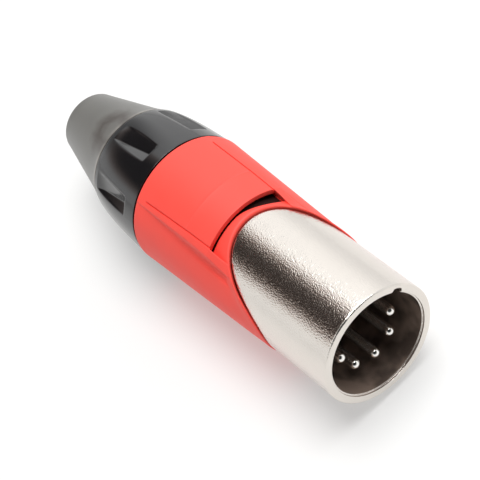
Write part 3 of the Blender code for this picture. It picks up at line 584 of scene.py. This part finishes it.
class CONNECTOR_OT_sleeve(bpy.types.Operator):
    """Build the colour sleeve with its scalloped lip, pocket, tongue and rails"""
    bl_idname = "connector.sleeve"
    bl_label = "Colour sleeve"

    def execute(self, context):
        s = in_mm(context.scene.connector.sleeve)
        front_r, rear_r, bore = s.front_radius, s.rear_radius, s.bore
        width, height = s.lip_width, s.lip_height
        tip = SLEEVE_FRONT + s.setback + s.tongue_tip
        crest, end = tip + s.crest_place, SLEEVE_REAR - s.root
        cheek, cave = tip - s.cheek, tip + s.cave
        tip_r, crest_r = s.tip_radius, s.crest_radius
        floor, under = s.floor_radius, s.tip_radius - s.thickness
        slit, rail, sharp, groove = s.slit, s.rail_half, s.sharp, s.slit_depth
        lip_foot = 9.56                              # radius where the rounding of the lip starts
        foot = 0.45                                  # width of the strip between rail and side
        raised = 0.1                                 # how far the top stands over the rear
        rake = 0.12                                  # lean of the tongue's end face
        fade_end, fade = 42.0, 17.0                  # where the dip beside the rails runs out
        middle_place = 23.0                          # where the columns' heights are taken

        def plain(along):
            """Radius of the sleeve's plain side."""
            return blend(front_r, rear_r, (along - SLEEVE_FRONT) / (SLEEVE_REAR - SLEEVE_FRONT))

        def field(along):
            """Radius of the tongue and the rails, which rise to the crest and then fall."""
            if along < crest:
                return blend(tip_r, crest_r, (along - tip) / (crest - tip))
            return blend(crest_r, rear_r + raised, (along - crest) / (SLEEVE_REAR - 0.2 - crest))

        def half(along):
            """Half the tongue's width."""
            share = (along - tip) / (end - tip)
            return blend(s.tip_half, s.root_half, min(max(share, -0.3), 1.1))

        def end_face(radius):
            """Place of the tongue's leaning end face."""
            return tip - rake * (radius - tip_r)

        def hollow(along, after):
            """Share of the dip below the rails, which starts behind the lip and fades to the rear."""
            faded = min(max((fade_end - along) / fade, 0.0), 1.0)
            return smooth(after + 0.1, after + 1.6, along) * faded

        def window_edge(share):
            """Front edge of the window in the pocket, which reaches out towards one corner."""
            return tip - blend(0.04, s.window, smooth(-0.15, 1.05, share))

        # Half of the columns, from the tongue's middle to the underside. A place is a share of its
        # strip's width, and on the foot a distance from the rail in mm.
        columns = [("tongue", share) for share in
                   (0.0, 0.09, 0.19, 0.3, 0.42, 0.54, 0.66, 0.77, 0.86, 0.93, 0.97, 0.987, 1.0)]
        columns += [("slit", share) for share in (0.12, 0.5, 0.88)]
        columns += [("rail", share) for share in (0.0, 0.12, 0.5, 0.85, 1.0)]
        columns += [("foot", share) for share in (0.02, 0.1, foot)]
        columns += [("side", i / 23) for i in range(1, 24)]

        def across(kind, share, along):
            """Distance of a column from the tongue's middle line."""
            if kind == "tongue":
                return share * half(along)
            if kind == "slit":
                return half(along) + share * slit
            if kind == "rail":
                return blend(half(along) + slit, rail, share)
            return rail + share

        tops = [blend(tip + 0.7, end - 0.6, i / 10) for i in range(11)]
        nearest = min(range(11), key=lambda i: abs(tops[i] - crest))
        tops[nearest:nearest + 1] = [crest - 0.12, crest, crest + 0.12]

        def lip(e, top):
            """The front edge, up the first part of its rounding to a top of that radius."""
            rise = top - lip_foot
            return [(e + 0.12, bore), (e, bore + 0.07), (e, lip_foot),
                    (e + 0.05, lip_foot + 0.35 * rise), (e + 0.18, lip_foot + 0.75 * rise)]

        def pocket(kind, share, e):
            """From a low lip over the pocket's ledge and floor to the top of the tip or the slit."""
            edge, ledge = window_edge(share), plain(e) - 0.14
            points = lip(e, ledge)
            points += [(e + 0.36, ledge - 0.01), (e + 0.5, ledge), (e + 0.65, ledge),
                       (edge - 0.1, ledge - 0.02), (edge, ledge - 0.05),
                       (edge + 0.04, ledge - 0.2), (edge + 0.1, floor)]
            if kind == "slit":
                rise = tip_r - groove - floor
                levels = [floor + part * rise
                          for part in (0.0, 0.06, 0.2, 0.35, 0.5, 0.6, 0.7, 0.8, 0.9)]
                points += [(end_face(level), level) for level in levels]
                return points + [(tip, tip_r - groove - 0.02), (tip + 2.0 * sharp, tip_r - groove)]
            # The hollow runs back to the cave's end and out again under the tongue.
            return points + [
                (cave - 0.05, floor), (cave, floor + 0.08), (cave, under - 0.08),
                (cave - 0.08, under), (blend(tip, cave, 0.3), under),
                (end_face(under) + 2.0 * sharp, under),
                (end_face(under) + 0.2 * sharp, under + 0.2 * sharp),
                (end_face(under + 2.0 * sharp), under + 2.0 * sharp),
                (end_face(tip_r - 2.0 * sharp), tip_r - 2.0 * sharp),
                (end_face(tip_r) + 0.2 * sharp, tip_r - 0.2 * sharp), (tip + 2.0 * sharp, tip_r)]

        def flank(kind, e, w, after):
            """From the lip past the pocket, where a rail ramps up to the tongue's height."""
            full = plain(e) + height
            points = lip(e, full)
            points += [(e + 0.38, full - 0.05 * height), (e + 0.5 + 0.3 * w, full),
                       (after, plain(e + w) - 0.02)]
            last = tip - 0.06
            ramp = [blend(after, last, (i / 8) ** 0.9) for i in range(1, 9)]
            ramp += [blend(last, tip + 0.16, i / 7) for i in range(1, 8)]
            for along in ramp:
                radius = plain(along)
                if kind == "rail" and along < tip:
                    up = blend(plain(cheek) - 0.1, tip_r, (along - cheek) / (tip - cheek))
                    radius = min(max(up, radius), tip_r)
                elif kind == "rail":
                    radius = field(along)
                points.append((along, radius))
            return points

        def section(kind, share, hand):
            """Outline of a column, which starts inside at the front. The hand is -1 or 1."""
            if kind == "side":
                start = math.asin((rail + foot) / front_r)
                level = front_r * math.cos(blend(start, math.pi, share))
            else:
                level = math.sqrt(front_r ** 2 - across(kind, share, middle_place) ** 2)
            e = sleeve_edge(s, level)
            w = blend(0.5, width, smooth(0.0, 0.12, share)) if kind == "side" else 0.5
            after = e + 0.3 + w
            upper = kind in ("tongue", "rail", "slit")
            if kind in ("tongue", "slit"):
                points = pocket(kind, hand * (share if kind == "tongue" else 1.0), e)
            else:
                points = flank(kind, e, w, after)
            for along in tops + [end + shift for shift in (-0.25, -0.06, 0.02, 0.16, 0.8)]:
                radius = field(along) if upper else plain(along)
                if kind == "slit" and along < end:
                    radius -= groove
                if kind == "tongue" and along == crest:
                    radius += s.ridge
                points.append((along, radius))
            back = SLEEVE_REAR
            top = rear_r + (raised if upper else 0.0)
            points += [(back - 0.5, top), (back - 0.27, top),
                       (back - 0.16, rear_r - 0.02), (back - 0.03, rear_r - 0.2),
                       (back, rear_r - 0.3), (back, bore + 0.15), (back - 0.04, bore + 0.04),
                       (back - 0.2, bore), (35.0, bore), (27.0, bore)]
            placed = []
            for along, radius in points:
                if kind == "side":
                    start = math.asin(min((rail + foot) / radius, 1.0))
                    angle = blend(start, math.pi, share)
                    sunk = s.dip * (1.0 - smooth(0.0, 0.26, share)) * hollow(along, after)
                    placed.append((along, radius - (sunk if radius > bore + 0.5 else 0.0), angle))
                else:
                    x = across(kind, share, along)
                    if kind == "foot" and radius > bore + 0.5:
                        sunk = hollow(along, after)
                        radius -= (s.dip + s.crease * (1.0 if share < 0.3 else 0.45)) * sunk
                        x -= s.lean * sunk if share < 0.05 else 0.0
                    placed.append((along, radius, math.asin(x / radius)))
            return placed

        ring = [section(kind, share, 1.0) for kind, share in columns]
        other = [[(a, r, -angle) for a, r, angle in section(kind, share, -1.0)]
                 for kind, share in columns[1:-1]]
        ring += other[::-1]
        shape = ring_skin(len(ring), ring)
        # Faces in the hollow under the tongue take a near-black material: painted shade, so that the
        # hollow reads dark.
        for face in shape.faces:
            along, out, turn = face_place(face)
            aside = out * math.sin(turn) / half(along)
            low = bore + 0.05 < out < under + 0.02 and math.cos(turn) > 0.0
            if low and abs(aside) < 0.99 and along > window_edge(aside) + 0.03:
                face.material_index = 1
        finishes = context.scene.connector.finishes
        # Moulded polyester: an even, strong red with a wide soft shine.
        red = moulded("Red moulded polyester", finishes.red, 0.58, 0.3, 0.004, shine=0.52)
        # Painted shade: the same plastic, nearly black and without shine, so that the hollow looks
        # deep and dark.
        painted_shade = moulded("Polyester painted near-black as shade", finishes.painted_shade, 0.6, 0.3, 0.004, shine=0.3)
        shown("colour_ring", shape, "colour_sleeve", (red, painted_shade), levels=2)
        return {"FINISHED"}


class CONNECTOR_OT_nut(bpy.types.Operator):
    """Build the gland nut with its ring of pointed scoops"""
    bl_idname = "connector.nut"
    bl_label = "Gland nut"

    def execute(self, context):
        s = in_mm(context.scene.connector.nut)
        front, rear = SLEEVE_REAR + 0.1, NUT_REAR
        belly = rear - s.belly_place
        side = parabola((NUT_FRONT, s.front_radius), (belly, s.belly_radius),
                        (rear, s.rear_radius), 60)

        def outer(along):
            """Radius of the nut between the scoops."""
            if along <= side[0][0]:
                return side[0][1]
            for (a, r), (b, q) in zip(side, side[1:]):
                if along <= b:
                    return blend(r, q, (along - a) / (b - a))
            return side[-1][1]

        begin = NUT_FRONT + s.scoop_front
        finish = rear - s.scoop_rear
        wide = s.scoop_half
        pitch = 2.0 * math.pi / s.scoops
        reach = math.asin(wide / s.front_radius)

        def place(share, along):
            """Side place of a column, from one brow at -1 over the valley at 0 to the other at 1."""
            run = min(max((along - begin) / (finish - begin), 0.0), 1.0)
            valley = blend(s.valley_front, s.valley_rear, run)
            return blend(valley, 1.0 if share > 0.0 else -1.0, abs(share))

        def surface(share, along):
            """Radius of a scoop, which is a V whose valley runs to its rear corner."""
            full = outer(along)
            run = (along - begin) / (finish - begin)
            brow = blend(math.sqrt(outer(begin) ** 2 - wide ** 2),
                         math.sqrt(outer(finish) ** 2 - wide ** 2), run)
            bottom = blend(outer(begin) - s.front_depth,
                           math.sqrt(outer(finish) ** 2 - wide ** 2) - s.rear_depth, run)
            level = blend(bottom, brow, abs(share))
            dug_out = min(full, level / math.cos(place(share, along) * reach))
            return blend(dug_out, full, smooth(0.82, 1.0, run))

        shares = [0.0, 0.1, 0.35, 0.65, 0.9, 0.98]
        inner = sorted([-x for x in shares[1:]] + shares)
        gap = pitch - 2.0 * reach
        columns = [(x, 0.0) for x in inner]
        columns += [(None, x) for x in [reach * 1.03] + [reach + gap * k / 7 for k in range(1, 7)]
                    + [pitch - reach * 1.03]]
        dug = [begin + 0.02, begin + 0.12]
        dug += [blend(begin + 0.12, finish - 0.05, k / 9) for k in range(1, 10)]
        # A fine rebate at the front leaves a dark line behind the sleeve.
        crown, cut, wall = outer(front), outer(front) - 0.46, front + 0.23
        head = [(front + 0.12, 8.75), (front, 8.9), (front, cut - 0.04), (front + 0.02, cut),
                (wall - 0.03, cut), (wall, cut + 0.03), (wall, crown - 0.04),
                (wall + 0.01, crown - 0.01), (wall + 0.05, crown)]
        head += [(a, outer(a)) for a in (front + 1.1, begin - 0.9, begin - 0.3, begin - 0.05)]
        tail = [(a, outer(a)) for a in (finish + 0.02, finish + 0.15, blend(finish, rear, 0.6),
                                        rear - 0.1)]
        tail += [(rear - 0.02, outer(rear) - 0.03), (rear, outer(rear) - 0.15)]
        # Inside: the hole for the boot with the groove for its bead, then the bore over the neck.
        hole, groove, bore = 6.8, 7.4, 8.6
        tail += [(rear, hole + 0.2), (rear - 0.1, hole), (rear - 0.4, hole), (rear - 0.55, groove),
                 (rear - 1.1, groove), (rear - 1.3, hole), (54.5, hole), (51.35, 7.3),
                 (51.3, bore), (47.0, bore)]
        sections = []
        for scoop in range(s.scoops):
            turn = s.phase + scoop * pitch
            for share, offset in columns:
                points = head + [(a, outer(a) if share is None else surface(share, a)) for a in dug]
                sections.append([
                    (a, r, turn + (offset if share is None else place(share, a) * reach))
                    for a, r in points + tail])
        shape = ring_skin(len(sections), sections)
        finishes = context.scene.connector.finishes
        # Polyamide from a polished tool: near black, with sharp highlights along the scoops.
        black = moulded("Black glossy polyamide", finishes.black, 0.14, 0.5, 0.002,
                        spread=0.0, shine=0.85)
        shown("clamp_nut", shape, "gland_nut", (black,), levels=1)
        return {"FINISHED"}


class CONNECTOR_OT_boot(bpy.types.Operator):
    """Build the tapered rubber boot"""
    bl_idname = "connector.boot"
    bl_label = "Rubber boot"

    def execute(self, context):
        s = in_mm(context.scene.connector.boot)
        nut = in_mm(context.scene.connector.nut)
        front, brim = NUT_REAR + 0.08, nut.rear_radius - 0.06
        plug, bead = 6.5, 7.1                        # what fills the nut's hole and its groove
        end, bore, edge, full = s.end_radius, s.bore, s.end_edge, s.shoulder_radius
        shoulder = NUT_REAR + 0.3 + s.shoulder_length
        slope = (full - end) / (BOOT_REAR - shoulder)
        knee = NUT_REAR + 0.3 + 0.4 * s.shoulder_length
        outline = [(front, plug + 0.1), (front, brim - 0.08), (front + 0.02, brim - 0.02)]
        outline += parabola((front, brim), (knee, full + slope * (shoulder - knee)),
                            (shoulder, full), 12)
        for share in (0.2, 0.4, 0.6, 0.8, 0.93):
            along = blend(shoulder, BOOT_REAR, share)
            outline.append((along, full - slope * (along - shoulder)))
        outline += arc(BOOT_REAR - edge, end + slope * edge - edge, edge, 80.0, 0.0, 8)
        outline += [(BOOT_REAR, bore + 0.35)]
        outline += arc(BOOT_REAR - 0.2, bore + 0.2, 0.2, 0.0, -90.0, 4)
        outline += [(BOOT_REAR - 4.0, bore), (BOOT_FRONT, bore), (BOOT_FRONT, plug - 0.1),
                    (BOOT_FRONT + 0.1, plug), (NUT_REAR - 1.05, plug), (NUT_REAR - 1.05, bead),
                    (NUT_REAR - 0.55, bead), (front - 0.05, plug), (front, plug + 0.1)]
        shape = spun(outline, 128)
        finishes = context.scene.connector.finishes
        rubber = scuffed_rubber(finishes, front)
        shown("rubber_boot", shape, "cable_boot", (rubber,))
        return {"FINISHED"}


class CONNECTOR_OT_contacts(bpy.types.Operator):
    """Build the insulating insert and the five pins"""
    bl_idname = "connector.contacts"
    bl_label = "Insert and pins"

    def execute(self, context):
        s = in_mm(context.scene.connector.contacts)
        finishes = context.scene.connector.finishes
        low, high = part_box("contact_insert")
        face, rear = behind_rim((low, high))
        # The nose goes through the barrel's lip, and the body stops behind it.
        body, nose, stop, edge = (high.x - low.x) / 2.0 / MM, 7.1, 16.8, 0.25
        outline = [(face, 0.0), (face, 3.0), (face, nose - edge)]
        outline += arc(face + edge, nose - edge, edge, 180.0, 90.0, 4)[1:]
        outline += [(stop, nose), (stop, body), (rear - edge, body), (rear, body - edge),
                    (rear, 3.0), (rear, 0.0)]
        shape = spun(outline, 96)
        holes = bmesh.new()
        circle, radius = s.circle, s.radius
        hole = (radius + 0.22) * MM
        angles = [math.radians(90.0 + 45.0 * k) for k in range(5)]
        for angle in angles:
            centre = spot(21.0, circle, angle)
            turn = Matrix.Translation(centre) @ Matrix.Rotation(math.pi / 2.0, 4, "X")
            bmesh.ops.create_cone(holes, cap_ends=True, segments=32, radius1=hole, radius2=hole,
                                  depth=22.0 * MM, matrix=turn)
        cutter = meshed("pin_holes", holes)
        # Glass fibre in the plastic: a dull brown-black face with a slight roughness.
        dark = moulded("Glass-filled polyester insulator", finishes.insert, 0.5, 0.3, 0.01)
        insert = shown("insulator", shape, "contact_insert", (dark,))
        drill = insert.modifiers.new("Holes", "BOOLEAN")
        drill.object = cutter
        drill.solver = "EXACT"
        context.view_layer.update()
        depsgraph = context.evaluated_depsgraph_get()
        drilled = bpy.data.meshes.new_from_object(insert.evaluated_get(depsgraph))
        insert.modifiers.clear()
        insert.data = drilled
        drilled.set_sharp_from_angle(angle=math.radians(35.0))
        bpy.data.objects.remove(cutter, do_unlink=True)

        recess, seat = s.recess, s.seat_radius
        tip = recess + radius
        start, cup, depth = 26.0, 0.8, 4.6           # the thick part, and the solder cup in it
        silver = turned_pin(finishes, tip)
        for number, angle in enumerate(angles, start=1):
            back = behind_rim(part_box(f"pin_{number}"))[1]
            outline = [(recess, 0.0)] + arc(tip, 0.0, radius, 180.0, 90.0, 8)[1:]
            outline += [(tip + 0.2, radius), (14.0, radius), (start - 0.1, radius),
                        (start, radius + 0.05), (start, seat - 0.1), (start + 0.1, seat),
                        (back - 3.6, seat), (back - 3.5, seat - 0.02), (back - 0.05, seat - 0.02),
                        (back, seat - 0.1), (back, cup + 0.05), (back - 0.05, cup),
                        (back - depth, cup), (back - depth, 0.0)]
            pin = spun(outline, 40, (circle * math.sin(angle), circle * math.cos(angle)))
            shown(f"contact_{number}", pin, f"pin_{number}", (silver,))
        return {"FINISHED"}


class CONNECTOR_OT_inside(bpy.types.Operator):
    """Finish the chuck and the earth spring, which keep their CAD shapes"""
    bl_idname = "connector.inside"
    bl_label = "Chuck and spring"

    def execute(self, context):
        finishes = context.scene.connector.finishes
        # Acetal is milky, with a waxy shine.
        white = moulded("Natural acetal", finishes.acetal, 0.42, 0.4, 0.004, ior=1.48)
        bronze = tinned_bronze(finishes)
        for node, finish in (("cable_chuck", white), ("earth_spring", bronze)):
            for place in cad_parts[node].material_slots:
                place.material = finish
        return {"FINISHED"}


class CONNECTOR_OT_studio(bpy.types.Operator):
    """Set up the floor, the light tent and the camera"""
    bl_idname = "connector.studio"
    bl_label = "Studio"

    def execute(self, context):
        finishes = context.scene.connector.finishes
        shape = bmesh.new()
        bmesh.ops.create_grid(shape, x_segments=1, y_segments=1, size=3.0)
        floor = meshed("studio_floor", shape)
        # Acrylic lit from below: a pale even floor that keeps shadows light.
        table, _, shader = blank("Back-lit white acrylic")
        feed(shader, {"Base Color": shaded(finishes.table), "Roughness": 0.6,
                      "Emission Color": (1.0, 1.0, 1.0, 1.0), "Emission Strength": 0.36})
        floor.data.materials.append(table)

        world = bpy.data.worlds.new("Light tent")
        context.scene.world = world
        world.use_nodes = True
        tree = world.node_tree
        back = tree.nodes["Background"]
        where = add(tree, "ShaderNodeTexCoord", (-1100, 0))
        level = TENT_BRIGHTNESS
        for number, (direction, inner, outer, inside) in enumerate(TENT_PATCHES):
            near = add(tree, "ShaderNodeVectorMath", (-900, -200 * number), {
                0: where.outputs["Generated"], 1: Vector(direction).normalized()},
                operation="DOT_PRODUCT")
            share = add(tree, "ShaderNodeMapRange", (-700, -200 * number), {
                "Value": near.outputs["Value"], "From Min": math.cos(math.radians(outer)),
                "From Max": math.cos(math.radians(inner)), "To Min": 1.0, "To Max": inside},
                interpolation_type="SMOOTHSTEP")
            level = add(tree, "ShaderNodeMath", (-500 + 150 * number, -200 * number), {
                0: share.outputs["Result"], 1: level}, operation="MULTIPLY").outputs["Value"]
            if number == 0:
                # The first patch is a warm brown, so the band on the barrel is too.
                warm = add(tree, "ShaderNodeMix", (-300, 300), {
                    0: share.outputs["Result"], 6: (1.0, 0.7, 0.58, 1.0),
                    7: (1.0, 1.0, 1.0, 1.0)}, data_type="RGBA")
        feed(back, {"Color": warm.outputs[2], "Strength": level})

        softbox = bpy.data.lights.new("Softbox", "AREA")
        softbox.shape = "DISK"
        softbox.size = 0.34
        softbox.energy = 1.9
        above = linked("Softbox", softbox)
        place = Vector((0.07, -0.03, 0.42))
        above.matrix_world = (Matrix.Translation(place)
                              @ place.to_track_quat("Z", "Y").to_matrix().to_4x4())

        lens = bpy.data.cameras.new("Camera")
        lens.lens = 126.7
        lens.sensor_width = 36.0
        lens.clip_start = 0.01
        camera = linked("Camera", lens)
        # The camera looks down into the socket, with the connector slanting up to the left.
        towards = Vector((0.191, 0.647, -0.738)).normalized()
        up = Vector((0.722, -0.602, -0.341)).cross(towards).normalized()
        right = towards.cross(up).normalized()
        turn = Matrix((right, up, -towards)).transposed().to_4x4()
        camera.matrix_world = Matrix.Translation((-0.0481, RIM_Y - 0.1307, 0.1953)) @ turn
        context.scene.camera = camera
        context.scene.view_settings.view_transform = "Standard"
        return {"FINISHED"}


class CONNECTOR_PT_panel(bpy.types.Panel):
    """Lists the pieces of the connector"""
    bl_idname = "CONNECTOR_PT_panel"
    bl_label = "Cable Connector"
    bl_space_type = "VIEW_3D"
    bl_region_type = "UI"
    bl_category = "Connector"

    def draw(self, context):
        for operator in PIECES:
            self.layout.operator(operator.bl_idname)
        for name in ("barrel", "sleeve", "nut", "boot", "contacts", "finishes"):
            group = getattr(context.scene.connector, name)
            box = self.layout.box()
            box.label(text=name.capitalize())
            for key in group.bl_rna.properties.keys():
                if key not in ("rna_type", "name"):
                    box.prop(group, key)


GROUPS = (BarrelSizes, SleeveSizes, NutSizes, BootSizes, ContactSizes, Finishes, Connector)
PIECES = (CONNECTOR_OT_studio, CONNECTOR_OT_barrel, CONNECTOR_OT_sleeve, CONNECTOR_OT_nut,
          CONNECTOR_OT_boot, CONNECTOR_OT_contacts, CONNECTOR_OT_inside)


def register():
    for group in GROUPS + PIECES + (CONNECTOR_PT_panel,):
        bpy.utils.register_class(group)
    bpy.types.Scene.connector = PointerProperty(type=Connector)


def unregister():
    del bpy.types.Scene.connector
    for group in reversed(GROUPS + PIECES + (CONNECTOR_PT_panel,)):
        bpy.utils.unregister_class(group)


def main():
    register()
    bpy.ops.connector.studio()
    bpy.ops.connector.barrel()
    bpy.ops.connector.sleeve()
    bpy.ops.connector.nut()
    bpy.ops.connector.boot()
    bpy.ops.connector.contacts()
    bpy.ops.connector.inside()
    bpy.context.view_layer.update()


if __name__ == "__main__":
    main()
